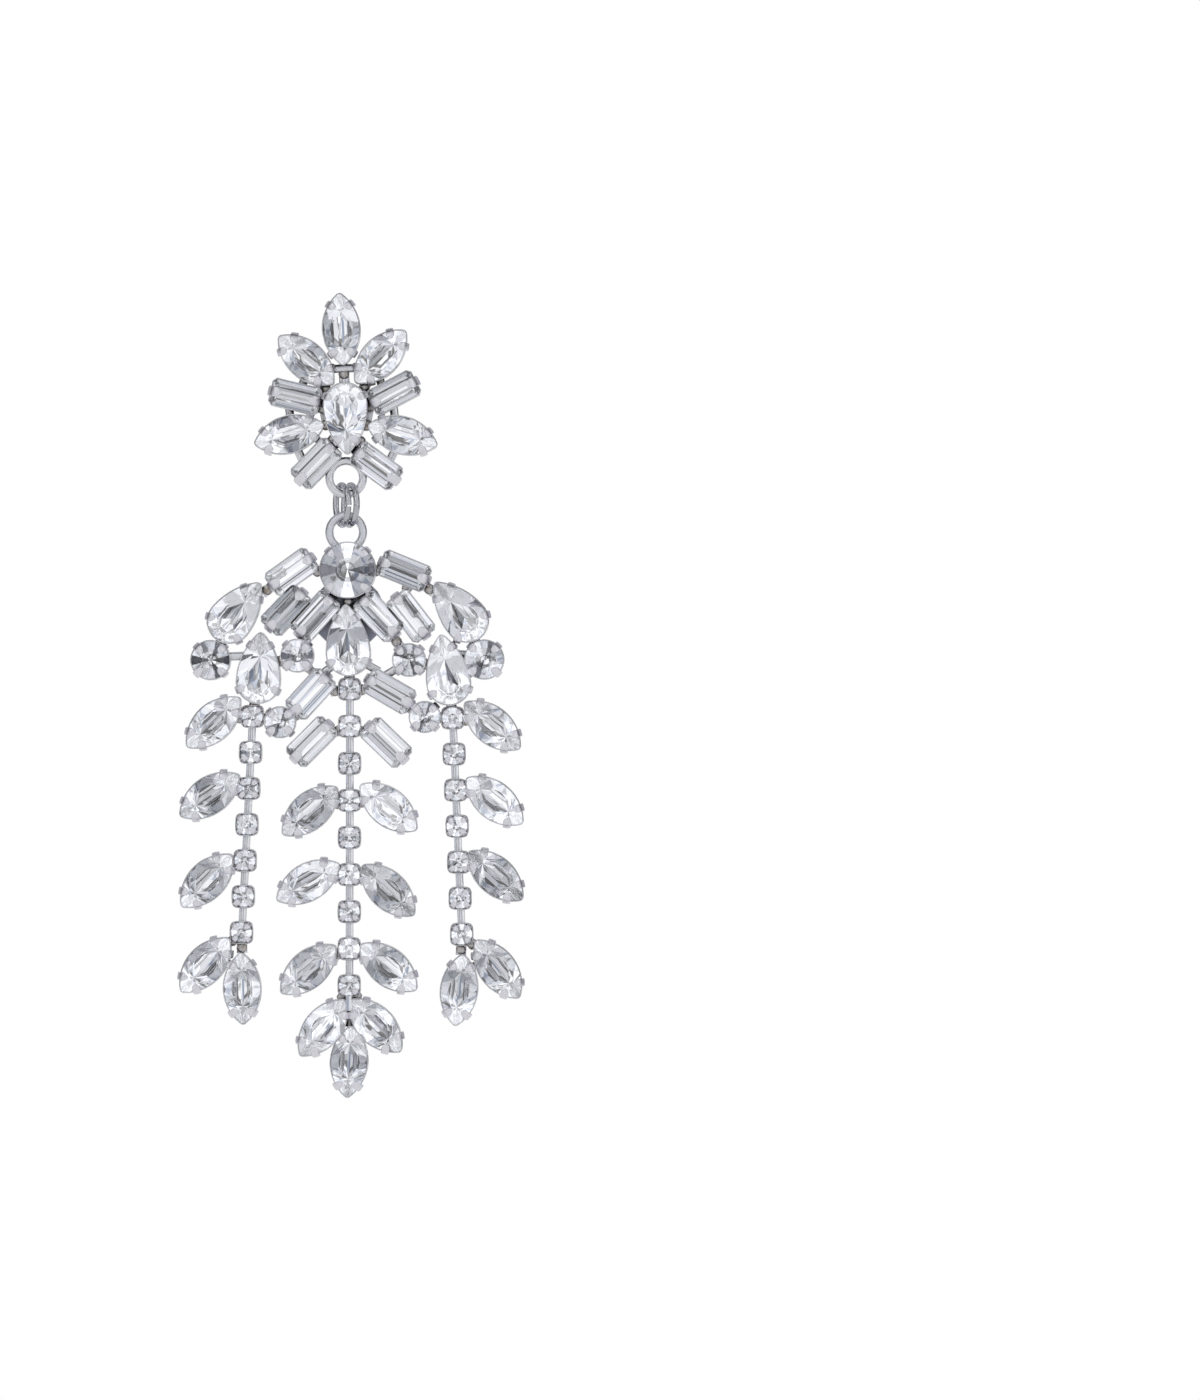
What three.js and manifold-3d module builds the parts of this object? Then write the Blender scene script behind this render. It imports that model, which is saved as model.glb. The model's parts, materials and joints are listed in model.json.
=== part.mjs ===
// Chandelier earring: a stud of ten set stones, two jump rings, a drop of twenty-five set stones, and
// three chains of small set stones with leaves. Millimetres, +Z up, stones facing -Y. The origin is the
// middle of the ear pad's rear face, where the lobe bears, and the post runs along +Y from it.
import * as THREE from "three";
import { ConvexGeometry } from "three/addons/geometries/ConvexGeometry.js";
import { mergeVertices } from "three/addons/utils/BufferGeometryUtils.js";
import Module from "manifold-3d";

const wasm = await Module();
wasm.setup();

// Stones, measured at the girdle.
const navetteLength = 7.7;
const navetteWidth = 3.8;
const pearLength = 7.6;
const pearWidth = 4.5;
const baguetteLength = 5;
const baguetteWidth = 2.2;
const hubDiameter = 5.7;
const outerRoundDiameter = 4;
const innerRoundDiameter = 3.3;
const bridgeRoundDiameter = 3.1;
const chainStoneDiameter = 2.3;

// Settings: pressed cups with claws folded over the stones.
const cupWall = 0.2;
const cupFloor = 0.3;
const stoneGap = 0.05;
const rimStand = 0.1;
const clawWidth = 0.95;
const chainClawWidth = 0.6;
const clawThickness = 0.2;
const clawReach = 0.6;
const chainClawReach = 0.35;
const clawSink = 0.08;
const bridgeWidth = 0.85;
const bridgeThickness = 0.6;

// Hanging parts.
const loopDiameter = 4.6;
const loopWire = 0.9;
const loopSeat = 1.15;
const hubOffset = 0.2;
const loopDepth = 1.05;
const ringDiameter = 5.2;
const ringWire = 0.7;
const ringSpacing = 0.9;
const linkGap = 0.3;

// Ear pad, post and back disc.
const padDiameter = 6;
const padThickness = 0.8;
const postDiameter = 0.8;
const postLength = 10.5;
const postAbovePear = 1;
const discDiameter = 8.0;
const discThickness = 0.5;
const discBelowHub = 4.6;
const pieceGap = 0.1;

// Chains of small set stones.
const chainPitch = 4.08;
const sideChainPitch = 3.97;
const chainBarWidth = 0.85;

// Roundness: steps along half of a bowed side, and sides of round shapes.
const navetteSteps = 2;
const pearSteps = 3;
const hubSides = 16;
const roundSides = 10;
const chainSides = 8;
const loopSides = 14;
const wireSides = 6;

const turned = THREE.MathUtils.degToRad;
const point = (x, y) => new THREE.Vector2(x, y);

const silver = new THREE.MeshStandardMaterial({ color: 0xc9cbd2, roughness: 0.22, metalness: 1 });
const brightSilver = new THREE.MeshStandardMaterial({ color: 0xd6d8de, roughness: 0.14, metalness: 1 });
const crystal = new THREE.MeshStandardMaterial({ color: 0xd5d9e0, roughness: 0.04, metalness: 0.1 });
const chainCrystal = new THREE.MeshStandardMaterial({ color: 0xcdd1d9, roughness: 0.1, metalness: 0.5 });
const slateMetal = new THREE.MeshStandardMaterial({ color: 0x777c8c, roughness: 0.4, metalness: 0.9 });

// Half of a bowed side, from its tip to its crest, with the bow set outward by grow.
function bow(reach, height, steps, grow) {
  const radius = (reach ** 2 + height ** 2) / (2 * height);
  const sunk = radius - height;
  const tip = Math.sqrt((radius + grow) ** 2 - sunk ** 2);
  const sweep = Math.asin(tip / (radius + grow));
  return Array.from({ length: steps + 1 }, (_, step) => {
    const angle = sweep * (1 - step / steps);
    return point((radius + grow) * Math.sin(angle), (radius + grow) * Math.cos(angle) - sunk);
  });
}

function navetteOutline(grow) {
  const side = bow(navetteLength / 2, navetteWidth / 2, navetteSteps, grow);
  const back = side.slice(1, -1).reverse().map((p) => point(-p.x, p.y));
  const upper = [...side, ...back];
  return [...upper, ...upper.map((p) => point(-p.x, -p.y))];
}

// The point lies along +X and the round end along -X.
function pearOutline(grow) {
  const middle = pearWidth / 2 - pearLength / 2;
  const flank = bow(pearLength - pearWidth / 2, pearWidth / 2, pearSteps, grow);
  const side = flank.map((p) => point(p.x + middle, p.y));
  const steps = 2 * pearSteps;
  const end = Array.from({ length: steps - 1 }, (_, step) => {
    const angle = Math.PI * (0.5 + (step + 1) / steps);
    const radius = pearWidth / 2 + grow;
    return point(middle + radius * Math.cos(angle), radius * Math.sin(angle));
  });
  const back = side.slice(1).reverse().map((p) => point(p.x, -p.y));
  return [...side, ...end, ...back];
}

function baguetteOutline(grow) {
  const x = baguetteLength / 2 + grow;
  const y = baguetteWidth / 2 + grow;
  return [point(x, -y), point(x, y), point(-x, y), point(-x, -y)];
}

function roundOutline(diameter, sides) {
  return (grow) => Array.from({ length: sides }, (_, side) => {
    const angle = (2 * Math.PI * (side + 0.5)) / sides;
    const radius = diameter / 2 + grow;
    return point(radius * Math.cos(angle), radius * Math.sin(angle));
  });
}

// Each cut's crown height, pavilion depth and table border are shares of its width. keel is the half
// length of the line at the back, claws are the bearings where the setting's claws stand, and lift is
// how far a cup's floor is raised over its back.
const cuts = {
  navette: {
    outline: navetteOutline, width: navetteWidth, crown: 0.2, pavilion: 0.4, border: 0.26,
    keel: navetteLength * 0.2, claws: [24, 156, 204, 336], lift: 0,
  },
  pear: {
    outline: pearOutline, width: pearWidth, crown: 0.2, pavilion: 0.4, border: 0.24,
    keel: pearLength * 0.1, claws: [25, 140, 220, 335], lift: 0,
  },
  baguette: {
    outline: baguetteOutline, width: baguetteWidth, crown: 0.24, pavilion: 0.55, border: 0.22,
    keel: baguetteLength * 0.34, claws: [0, 180], lift: 0.2,
  },
  hub: {
    outline: roundOutline(hubDiameter, hubSides), width: hubDiameter, crown: 0.17, pavilion: 0.36,
    border: 0.26, keel: 0, claws: [45, 135, 225, 315], lift: 0,
  },
  outerRound: {
    outline: roundOutline(outerRoundDiameter, roundSides), width: outerRoundDiameter, crown: 0.19,
    pavilion: 0.42, border: 0.26, keel: 0, claws: [45, 135, 225, 315], lift: 0,
  },
  innerRound: {
    outline: roundOutline(innerRoundDiameter, roundSides), width: innerRoundDiameter, crown: 0.2,
    pavilion: 0.45, border: 0.26, keel: 0, claws: [45, 135, 225, 315], lift: 0.6,
  },
  bridgeRound: {
    outline: roundOutline(bridgeRoundDiameter, roundSides), width: bridgeRoundDiameter, crown: 0.2,
    pavilion: 0.45, border: 0.26, keel: 0, claws: [45, 135, 225, 315], lift: 0,
  },
  chainRound: {
    outline: roundOutline(chainStoneDiameter, chainSides), width: chainStoneDiameter, crown: 0.22,
    pavilion: 0.5, border: 0.24, keel: 0, claws: [45, 135, 225, 315], lift: 0,
  },
};

// Heights over the back of a cup whose floor is raised by lift.
const crownHeight = (cut) => cut.crown * cut.width;
const tableBorder = (cut) => cut.border * cut.width;
const girdleHeight = (cut, lift) => lift + cupFloor + stoneGap + cut.pavilion * cut.width;
const rimHeight = (cut, lift) => girdleHeight(cut, lift) + rimStand;
const raised = (outline, height) => outline.map((p) => new THREE.Vector3(p.x, p.y, height));

// A closed geometry as a solid that can be joined and cut, and back.
function asSolid(geometry) {
  geometry.deleteAttribute("normal");
  geometry.deleteAttribute("uv");
  const merged = mergeVertices(geometry, 1e-5);
  return new wasm.Manifold(new wasm.Mesh({
    numProp: 3,
    vertProperties: merged.attributes.position.array,
    triVerts: Uint32Array.from(merged.index.array),
  }));
}

function asGeometry(solid) {
  const mesh = solid.getMesh();
  const geometry = new THREE.BufferGeometry();
  geometry.setAttribute("position", new THREE.BufferAttribute(mesh.vertProperties, 3));
  geometry.setIndex(new THREE.BufferAttribute(mesh.triVerts, 1));
  return geometry;
}

const joined = (solids) => solids.reduce((whole, piece) => whole.add(piece));

function prism(outline, low, high) {
  const geometry = new THREE.ExtrudeGeometry(new THREE.Shape(outline), {
    depth: high - low, bevelEnabled: false, steps: 1,
  });
  return geometry.translate(0, 0, low);
}

// A cut stone: table, crown facets, sharp girdle, and pavilion facets down to a keel or a point.
function stoneGeometry(cut, lift) {
  const girdle = girdleHeight(cut, lift);
  const keelEnds = cut.keel > 0 ? [cut.keel, -cut.keel] : [0];
  return new ConvexGeometry([
    ...raised(cut.outline(-tableBorder(cut)), girdle + crownHeight(cut)),
    ...raised(cut.outline(0), girdle),
    ...raised(keelEnds.map((x) => point(x, 0)), girdle - cut.pavilion * cut.width),
  ]);
}

// Where a ray at a bearing from the middle leaves an outline, and that side's outward normal.
function outlineAt(outline, bearing) {
  const ray = point(Math.cos(turned(bearing)), Math.sin(turned(bearing)));
  for (let side = 0; side < outline.length; side += 1) {
    const from = outline[side];
    const along = outline[(side + 1) % outline.length].clone().sub(from);
    const across = ray.cross(along);
    const share = from.cross(ray) / across;
    const distance = from.cross(along) / across;
    if (share >= 0 && share <= 1 && distance > 0) {
      return { place: ray.clone().multiplyScalar(distance), normal: point(along.y, -along.x).normalize() };
    }
  }
  throw new Error("an outline has its middle outside it");
}

// A claw that stands in the cup's wall and folds over the crown, just clear of it.
function clawSolid(cut, lift, bearing) {
  const small = cut === cuts.chainRound;
  const width = small ? chainClawWidth : clawWidth;
  const reach = small ? chainClawReach : clawReach;
  const rim = rimHeight(cut, lift);
  const climb = (reach * cut.crown) / cut.border;
  const profile = [
    point(stoneGap + cupWall * 0.4, rim - clawSink),
    point(stoneGap + cupWall * 0.9, rim - clawSink),
    point(-reach, rim + climb + clawThickness),
    point(-reach, rim + climb),
  ];
  const { place, normal } = outlineAt(cut.outline(0), bearing);
  const out = new THREE.Vector3(normal.x, normal.y, 0);
  const up = new THREE.Vector3(0, 0, 1);
  const frame = new THREE.Matrix4().makeBasis(out, up, out.clone().cross(up));
  return asSolid(prism(profile, -width / 2, width / 2).applyMatrix4(frame.setPosition(place.x, place.y, 0)));
}

function clawSolids(cut, lift) {
  return cut.claws.map((bearing) => clawSolid(cut, lift, bearing));
}

function cupSolid(cut, lift) {
  return asSolid(prism(cut.outline(stoneGap + cupWall), 0, rimHeight(cut, lift)));
}

// The pocket that the stone lies in, cut right out through the cup's rim.
function pocketSolid(cut, lift) {
  return asSolid(prism(cut.outline(stoneGap), lift + cupFloor, rimHeight(cut, lift) + clawThickness));
}

// A setting with its stone fused in: a filled cup, the stone's crown and the claws.
function fusedSolid(cut, lift) {
  const girdle = girdleHeight(cut, lift);
  const crown = new ConvexGeometry([
    ...raised(cut.outline(-tableBorder(cut)), girdle + crownHeight(cut)),
    ...raised(cut.outline(0), girdle),
  ]);
  return joined([cupSolid(cut, lift), asSolid(crown), ...clawSolids(cut, lift)]);
}

// How far apart two cups' middles lie, along a bearing, when their outlines just touch.
function touching(fixed, moving, bearing) {
  const ray = point(Math.cos(turned(bearing)), Math.sin(turned(bearing)));
  const mirrored = moving.map((p) => point(-p.x, -p.y));
  const reachTo = (outline, normal) => Math.max(...outline.map((p) => p.dot(normal)));
  const distances = [fixed, mirrored].flatMap((outline) => outline.map((from, side) => {
    const along = outline[(side + 1) % outline.length].clone().sub(from);
    const normal = point(along.y, -along.x).normalize();
    const facing = normal.dot(ray);
    return facing > 1e-6 ? (reachTo(fixed, normal) + reachTo(mirrored, normal)) / facing : Infinity;
  }));
  return Math.min(...distances);
}

function cupOutline(row) {
  const outline = cuts[row.cut].outline(stoneGap + cupWall);
  return outline.map((p) => p.clone().rotateAround(point(0, 0), turned(row.turn)));
}

// Places each row's stone beside the one that carries it: at a bearing from it, a gap from its cup.
function settled(rows, first) {
  const withLift = (row) => ({ lift: cuts[row.cut].lift, ...row });
  const placed = new Map([[rows[0].name, { ...withLift(rows[0]), x: first.x, y: first.y }]]);
  for (const row of rows.slice(1)) {
    const carrier = placed.get(row.on);
    const away = touching(cupOutline(carrier), cupOutline(row), row.at) + row.gap;
    const x = carrier.x + away * Math.cos(turned(row.at));
    const y = carrier.y + away * Math.sin(turned(row.at));
    placed.set(row.name, { ...withLift(row), x, y });
  }
  return placed;
}

const moved = (solid, row) => solid.rotate([0, 0, row.turn]).translate([row.x, row.y, 0]);

// A flat bar on the back of the settings, from one place to another.
function barSolid(from, to, width, thickness) {
  const length = Math.hypot(to.x - from.x, to.y - from.y);
  const bearing = Math.atan2(to.y - from.y, to.x - from.x);
  const geometry = new THREE.BoxGeometry(length, width, thickness);
  geometry.translate(length / 2, 0, thickness / 2).rotateZ(bearing).translate(from.x, from.y, 0);
  return asSolid(geometry);
}

// The settings of a table of rows, soldered to one another by a bar from each to its carrier.
function frameSolid(placed, extras) {
  const rows = [...placed.values()];
  const cups = rows.map((row) => moved(cupSolid(cuts[row.cut], row.lift), row));
  const bars = rows.slice(1).map((row) => barSolid(placed.get(row.on), row, bridgeWidth, bridgeThickness));
  const pockets = rows.map((row) => moved(pocketSolid(cuts[row.cut], row.lift), row));
  const claws = rows.flatMap((row) => {
    return clawSolids(cuts[row.cut], row.lift).map((claw) => moved(claw, row));
  });
  return joined([joined([...cups, ...bars, ...extras]).subtract(joined(pockets)), ...claws]);
}

// The stud's stones. Bearings and turns are degrees, counter-clockwise from +X with the stones in view;
// a turn is where the stone's point looks. Gaps are between cups. A row's own lift replaces its cut's.
const studRows = [
  { name: "stud_pear", cut: "pear", turn: 272, lift: 0.9 },
  { name: "stud_top_navette", cut: "navette", on: "stud_pear", at: 93, gap: 1.7, turn: 93, lift: 0.3 },
  { name: "stud_upper_left_navette", cut: "navette", on: "stud_pear", at: 124, gap: 0.05, turn: 139 },
  { name: "stud_upper_right_navette", cut: "navette", on: "stud_pear", at: 61, gap: 0.05, turn: 46 },
  { name: "stud_upper_left_baguette", cut: "baguette", on: "stud_pear", at: 156, gap: 0.3, turn: 161 },
  { name: "stud_upper_right_baguette", cut: "baguette", on: "stud_pear", at: 29, gap: 0.2, turn: 22 },
  { name: "stud_lower_left_navette", cut: "navette", on: "stud_pear", at: 195, gap: 0.05, turn: 196 },
  { name: "stud_lower_right_navette", cut: "navette", on: "stud_pear", at: 344, gap: 0.05, turn: 344 },
  { name: "stud_lower_left_baguette", cut: "baguette", on: "stud_pear", at: 236, gap: 0.3, turn: 220 },
  { name: "stud_lower_right_baguette", cut: "baguette", on: "stud_pear", at: 303, gap: 0.3, turn: 318 },
];

// The drop's stones, placed in the same way from the large round one.
const dropRows = [
  { name: "large_round", cut: "hub", turn: 0, lift: 0.3 },
  { name: "centre_pear", cut: "pear", on: "large_round", at: 270, gap: 0.4, turn: 93, lift: 0.7 },
  { name: "centre_head_round", cut: "chainRound", on: "centre_pear", at: 272, gap: 0.1, turn: 0 },
  { name: "wing_left_baguette", cut: "baguette", on: "large_round", at: 181, gap: 0.1, turn: 210 },
  { name: "wing_right_baguette", cut: "baguette", on: "large_round", at: 0, gap: 0.1, turn: 332 },
  { name: "inner_left_baguette", cut: "baguette", on: "large_round", at: 234, gap: 0.2, turn: 222 },
  { name: "inner_right_baguette", cut: "baguette", on: "large_round", at: 304, gap: 0.2, turn: 308 },
  { name: "second_left_baguette", cut: "baguette", on: "wing_left_baguette", at: 262, gap: 0.2, turn: 221 },
  { name: "second_right_baguette", cut: "baguette", on: "wing_right_baguette", at: 278, gap: 0.2, turn: 302 },
  { name: "outer_left_pear", cut: "pear", on: "wing_left_baguette", at: 216, gap: 0.6, turn: 51 },
  { name: "outer_right_pear", cut: "pear", on: "wing_right_baguette", at: 324, gap: 0.6, turn: 130 },
  { name: "inner_left_round", cut: "innerRound", on: "inner_left_baguette", at: 246, gap: -0.1, turn: 0 },
  { name: "inner_right_round", cut: "innerRound", on: "inner_right_baguette", at: 305, gap: 1.2, turn: 0 },
  { name: "outer_left_round", cut: "outerRound", on: "outer_left_pear", at: 241, gap: 0.1, turn: 0 },
  { name: "outer_right_round", cut: "outerRound", on: "outer_right_pear", at: 298, gap: 0.1, turn: 0 },
  { name: "lower_left_pear", cut: "pear", on: "inner_left_round", at: 197, gap: 0.25, turn: 87 },
  { name: "lower_right_pear", cut: "pear", on: "inner_right_round", at: 346, gap: 0.1, turn: 99 },
  { name: "lower_left_baguette", cut: "baguette", on: "centre_head_round", at: 187, gap: 0.05, turn: 222 },
  { name: "lower_right_baguette", cut: "baguette", on: "centre_head_round", at: 357, gap: 0.05, turn: 324 },
  { name: "left_head_round", cut: "chainRound", on: "lower_left_pear", at: 262, gap: 0.05, turn: 0 },
  { name: "right_head_round", cut: "chainRound", on: "lower_right_pear", at: 277, gap: 0.05, turn: 0 },
  { name: "left_bridge_round", cut: "bridgeRound", on: "left_head_round", at: 348, gap: 0.05, turn: 0 },
  { name: "right_bridge_round", cut: "bridgeRound", on: "right_head_round", at: 178, gap: 0.05, turn: 0 },
  { name: "left_shoulder_navette", cut: "navette", on: "left_head_round", at: 189, gap: 0.1, turn: 223 },
  { name: "right_shoulder_navette", cut: "navette", on: "right_head_round", at: 349, gap: 0.1, turn: 320 },
];

// Each chain hangs from a head stone of the drop and has its own lean, pitch and number of stones. A leaf is
// set beside the chain's stone of that number, counted from the top.
const strandRows = [
  {
    name: "left_strand", head: "left_head_round", stones: 6, pitch: sideChainPitch, lean: -2.9,
    leaves: [
      { cut: "navette", stone: 2, at: 190, gap: 0.05, turn: 215 },
      { cut: "navette", stone: 4, at: 208, gap: 0.05, turn: 226 },
      { cut: "navette", stone: 6, at: 220, gap: 0.2, turn: 228 },
      { cut: "navette", stone: 6, at: 273, gap: 0.7, turn: 272 },
    ],
  },
  {
    name: "centre_strand", head: "centre_head_round", stones: 8, pitch: chainPitch, lean: -0.1,
    leaves: [
      { cut: "baguette", stone: 1, at: 202, gap: 0.1, turn: 225 },
      { cut: "baguette", stone: 1, at: 336, gap: 0.1, turn: 316 },
      { cut: "navette", stone: 3, at: 195, gap: 0.05, turn: 221 },
      { cut: "navette", stone: 3, at: 350, gap: 0.05, turn: 321 },
      { cut: "navette", stone: 5, at: 190, gap: 0.05, turn: 210 },
      { cut: "navette", stone: 5, at: 338, gap: 0.05, turn: 316 },
      { cut: "navette", stone: 7, at: 207, gap: 0.05, turn: 221 },
      { cut: "navette", stone: 7, at: 336, gap: 0.05, turn: 321 },
      { cut: "navette", stone: 8, at: 238, gap: 0.1, turn: 231 },
      { cut: "navette", stone: 8, at: 304, gap: 0.1, turn: 314 },
      { cut: "navette", stone: 8, at: 270, gap: 2.9, turn: 267 },
    ],
  },
  {
    name: "right_strand", head: "right_head_round", stones: 6, pitch: sideChainPitch, lean: 2.4,
    leaves: [
      { cut: "navette", stone: 2, at: 345, gap: 0.05, turn: 321 },
      { cut: "navette", stone: 4, at: 341, gap: 0.05, turn: 318 },
      { cut: "navette", stone: 6, at: 316, gap: 0.2, turn: 307 },
      { cut: "navette", stone: 6, at: 265, gap: 0.7, turn: 264 },
    ],
  },
];

// One chain with its leaves: fused settings on flat bars, the first bar stopping short of the head stone.
function strandSolid(strand, head) {
  const down = 270 + strand.lean;
  const step = point(Math.cos(turned(down)), Math.sin(turned(down))).multiplyScalar(strand.pitch);
  const stones = Array.from({ length: strand.stones }, (_, index) => {
    const place = step.clone().multiplyScalar(index + 1).add(head);
    return { cut: "chainRound", turn: strand.lean, lift: cuts.chainRound.lift, x: place.x, y: place.y };
  });
  const headEdge = Math.max(...cupOutline(head).map((p) => p.dot(step.clone().normalize())));
  const top = step.clone().normalize().multiplyScalar(headEdge + pieceGap).add(head);
  const bars = stones.map((stone, index) => {
    return barSolid(index === 0 ? top : stones[index - 1], stone, chainBarWidth, bridgeThickness);
  });
  const leaves = strand.leaves.map((leaf, index) => {
    const carrier = { ...stones[leaf.stone - 1], name: "carrier" };
    const row = { ...leaf, name: `leaf_${index}`, on: "carrier" };
    return settled([carrier, row], carrier).get(row.name);
  });
  const stems = leaves.map((leaf) => barSolid(stones[leaf.stone - 1], leaf, chainBarWidth, bridgeThickness));
  const settings = [...stones, ...leaves].map((row) => moved(fusedSolid(cuts[row.cut], row.lift), row));
  return joined([...settings, ...bars, ...stems]);
}

const loopRadius = (loopDiameter - loopWire) / 2;
const ringRadius = (ringDiameter - ringWire) / 2;

// A round wire ring that lies in the face of the earring, at the depth where the drop hangs in balance.
function loopSolid(place) {
  const ring = new THREE.TorusGeometry(loopRadius, loopWire / 2, wireSides, loopSides);
  return asSolid(ring.translate(place.x, place.y, loopDepth));
}

// A block that ties a loop to the setting it is soldered to.
function stemSolid(from, to) {
  return barSolid(from, to, bridgeWidth, loopDepth);
}

const studPear = point(0, -postAbovePear);
const stud = settled(studRows, studPear);
const pearTip = Math.min(...cupOutline(studRows[0]).map((p) => p.y)) + studPear.y;
const studLoop = point(0, pearTip - loopDiameter / 2);
const studStem = stemSolid(point(0, pearTip + loopWire), point(0, studLoop.y + loopRadius));

const studWire = studLoop.y - loopRadius;
const ringInside = ringRadius - ringWire / 2;
const ringMiddle = studWire + loopWire / 2 + linkGap - ringInside;
const dropWire = ringMiddle - ringInside + linkGap + loopWire / 2;
const dropLoop = point(0, dropWire - loopRadius);
const hubEdge = hubDiameter / 2 + stoneGap + cupWall;
const dropHub = point(hubOffset, dropLoop.y - loopDiameter / 2 - hubEdge + loopSeat);
const drop = settled(dropRows, dropHub);

// The back of every setting, as a height of the face over the ear pad's rear face.
const backHeight = padThickness + pieceGap;

const face = new THREE.Group();
face.rotation.x = Math.PI / 2;

function addPiece(name, geometry, material) {
  const mesh = new THREE.Mesh(geometry, material);
  mesh.name = name;
  face.add(mesh);
  return mesh;
}

for (const row of [...stud.values(), ...drop.values()]) {
  const stone = addPiece(row.name, stoneGeometry(cuts[row.cut], row.lift), crystal);
  stone.position.set(row.x, row.y, backHeight);
  stone.rotation.z = turned(row.turn);
}

const studFrame = frameSolid(stud, [loopSolid(studLoop), studStem]);
addPiece("stud_frame", asGeometry(studFrame), silver).position.z = backHeight;

const dropFrame = frameSolid(drop, [loopSolid(dropLoop)]);
addPiece("drop_frame", asGeometry(dropFrame), silver).position.z = backHeight;

for (const strand of strandRows) {
  const solid = strandSolid(strand, drop.get(strand.head));
  addPiece(strand.name, asGeometry(solid), chainCrystal).position.z = backHeight;
}

for (const side of [-1, 1]) {
  const ring = new THREE.TorusGeometry(ringRadius, ringWire / 2, wireSides, loopSides);
  const mesh = addPiece(side < 0 ? "jump_ring_left" : "jump_ring_right", ring, brightSilver);
  mesh.rotation.y = Math.PI / 2;
  mesh.position.set((side * ringSpacing) / 2, ringMiddle, backHeight + loopDepth);
}

// The ear pad and its post, one turned piece behind the stud.
const postProfile = [
  point(0, padThickness),
  point(padDiameter / 2, padThickness),
  point(padDiameter / 2, 0),
  point(postDiameter / 2, 0),
  point(postDiameter / 2, -postLength),
  point(0, -postLength),
];
const earPost = new THREE.LatheGeometry(postProfile.reverse(), hubSides);
addPiece("ear_post", earPost, silver).rotation.x = Math.PI / 2;

// The plain disc behind the middle of the drop.
const disc = new THREE.CylinderGeometry(discDiameter / 2, discDiameter / 2, discThickness, 2 * roundSides);
const discMesh = addPiece("back_disc", disc, slateMetal);
discMesh.rotation.x = Math.PI / 2;
discMesh.position.set(dropHub.x, dropHub.y - discBelowHub, backHeight - pieceGap - discThickness / 2);

const group = new THREE.Group();
group.name = "chandelier_earring";
group.add(face);

export default group;
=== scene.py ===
import json
import math
import random

import bmesh
import bpy
import numpy as np
from mathutils import Matrix, Vector


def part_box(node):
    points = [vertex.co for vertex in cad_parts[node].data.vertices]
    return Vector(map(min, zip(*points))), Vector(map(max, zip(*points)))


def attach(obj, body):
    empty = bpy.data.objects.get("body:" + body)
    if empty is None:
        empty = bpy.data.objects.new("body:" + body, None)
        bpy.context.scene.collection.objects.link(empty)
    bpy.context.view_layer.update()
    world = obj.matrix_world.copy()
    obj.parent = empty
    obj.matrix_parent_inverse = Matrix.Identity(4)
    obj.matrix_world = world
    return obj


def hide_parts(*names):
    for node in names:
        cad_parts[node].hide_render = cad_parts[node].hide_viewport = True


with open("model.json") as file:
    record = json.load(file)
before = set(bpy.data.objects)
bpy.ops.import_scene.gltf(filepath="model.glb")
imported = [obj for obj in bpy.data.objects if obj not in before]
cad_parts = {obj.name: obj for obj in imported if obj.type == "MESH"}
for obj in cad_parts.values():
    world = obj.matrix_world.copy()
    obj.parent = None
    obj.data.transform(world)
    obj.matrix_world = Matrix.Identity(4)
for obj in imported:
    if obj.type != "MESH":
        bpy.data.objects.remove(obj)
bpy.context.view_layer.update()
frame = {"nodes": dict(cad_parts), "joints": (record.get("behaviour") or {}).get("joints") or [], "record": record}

# Cut stones. Each is clear pressed glass with ground facets and a mirror foil on its back, so it throws
# light forward in flat flashes. It sits loose in its cup until the claws are pushed over its crown.
# The foils paint light on the facets: a glow on some of them, and a darker silver, which is painted shade, on
# others.
MM = 0.001
# The outline: its band at the girdle, its blunt tips, and a baguette's clipped corners.
GIRDLE_BAND = 0.08 * MM
STONE_SPREAD = 0.08 * MM
TIP_RADIUS = 0.34 * MM
BOW_SHARE = 0.86
CORNER_CUT = 0.34 * MM
LEAST_CORNER_CUT = 0.08 * MM
CORNER_GROWTH = 0.6
BAGUETTE_CORNERS = 8
# The glass, and the foils on the back facets. A facet draws its foil by its place in the list of FOILS.
GLASS_TINT = "#FEFEFF"
GLASS_STREAK = 1.4 * MM
FOIL_PATCH = 0.9 * MM
# Painted light: the foils' glow, which stands for the light bouncing inside a real stone.
PAINTED_GLOW = "#E2E3E6"
FOILS = {
    "faint_glow_foil": {"silver": "#F3F4F6", "glow": 0.07},
    "painted_glow_foil": {"silver": "#F3F4F6", "glow": 0.24},
    "painted_flash_foil": {"silver": "#F3F4F6", "glow": 0.44},
    # Painted shade: these two darker silvers make their facets grey or dark.
    "painted_grey_foil": {"silver": "#C6C8CC", "glow": 0.05},
    "painted_dark_foil": {"silver": "#7C7D84", "glow": 0.03},
}
# The tips draw only glowing foils, a painted highlight. The bodies draw both the glowing foils and the darker
# ones.
TIP_FOILS = (1, 2, 3, 3, 3)
BODY_FOILS = {
    "navette": (1, 1, 1, 3, 4, 4),
    "pear": (1, 1, 1, 3, 4, 5),
    "baguette": (1, 1, 1, 1, 3, 4),
    "round": (1, 1, 1, 1, 3, 4, 5),
    "small": (1, 1, 2, 3, 3, 4),
}
SMALL_STONE = 2.6 * MM
SECTORS = 12
FOIL_SEED = 31
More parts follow.
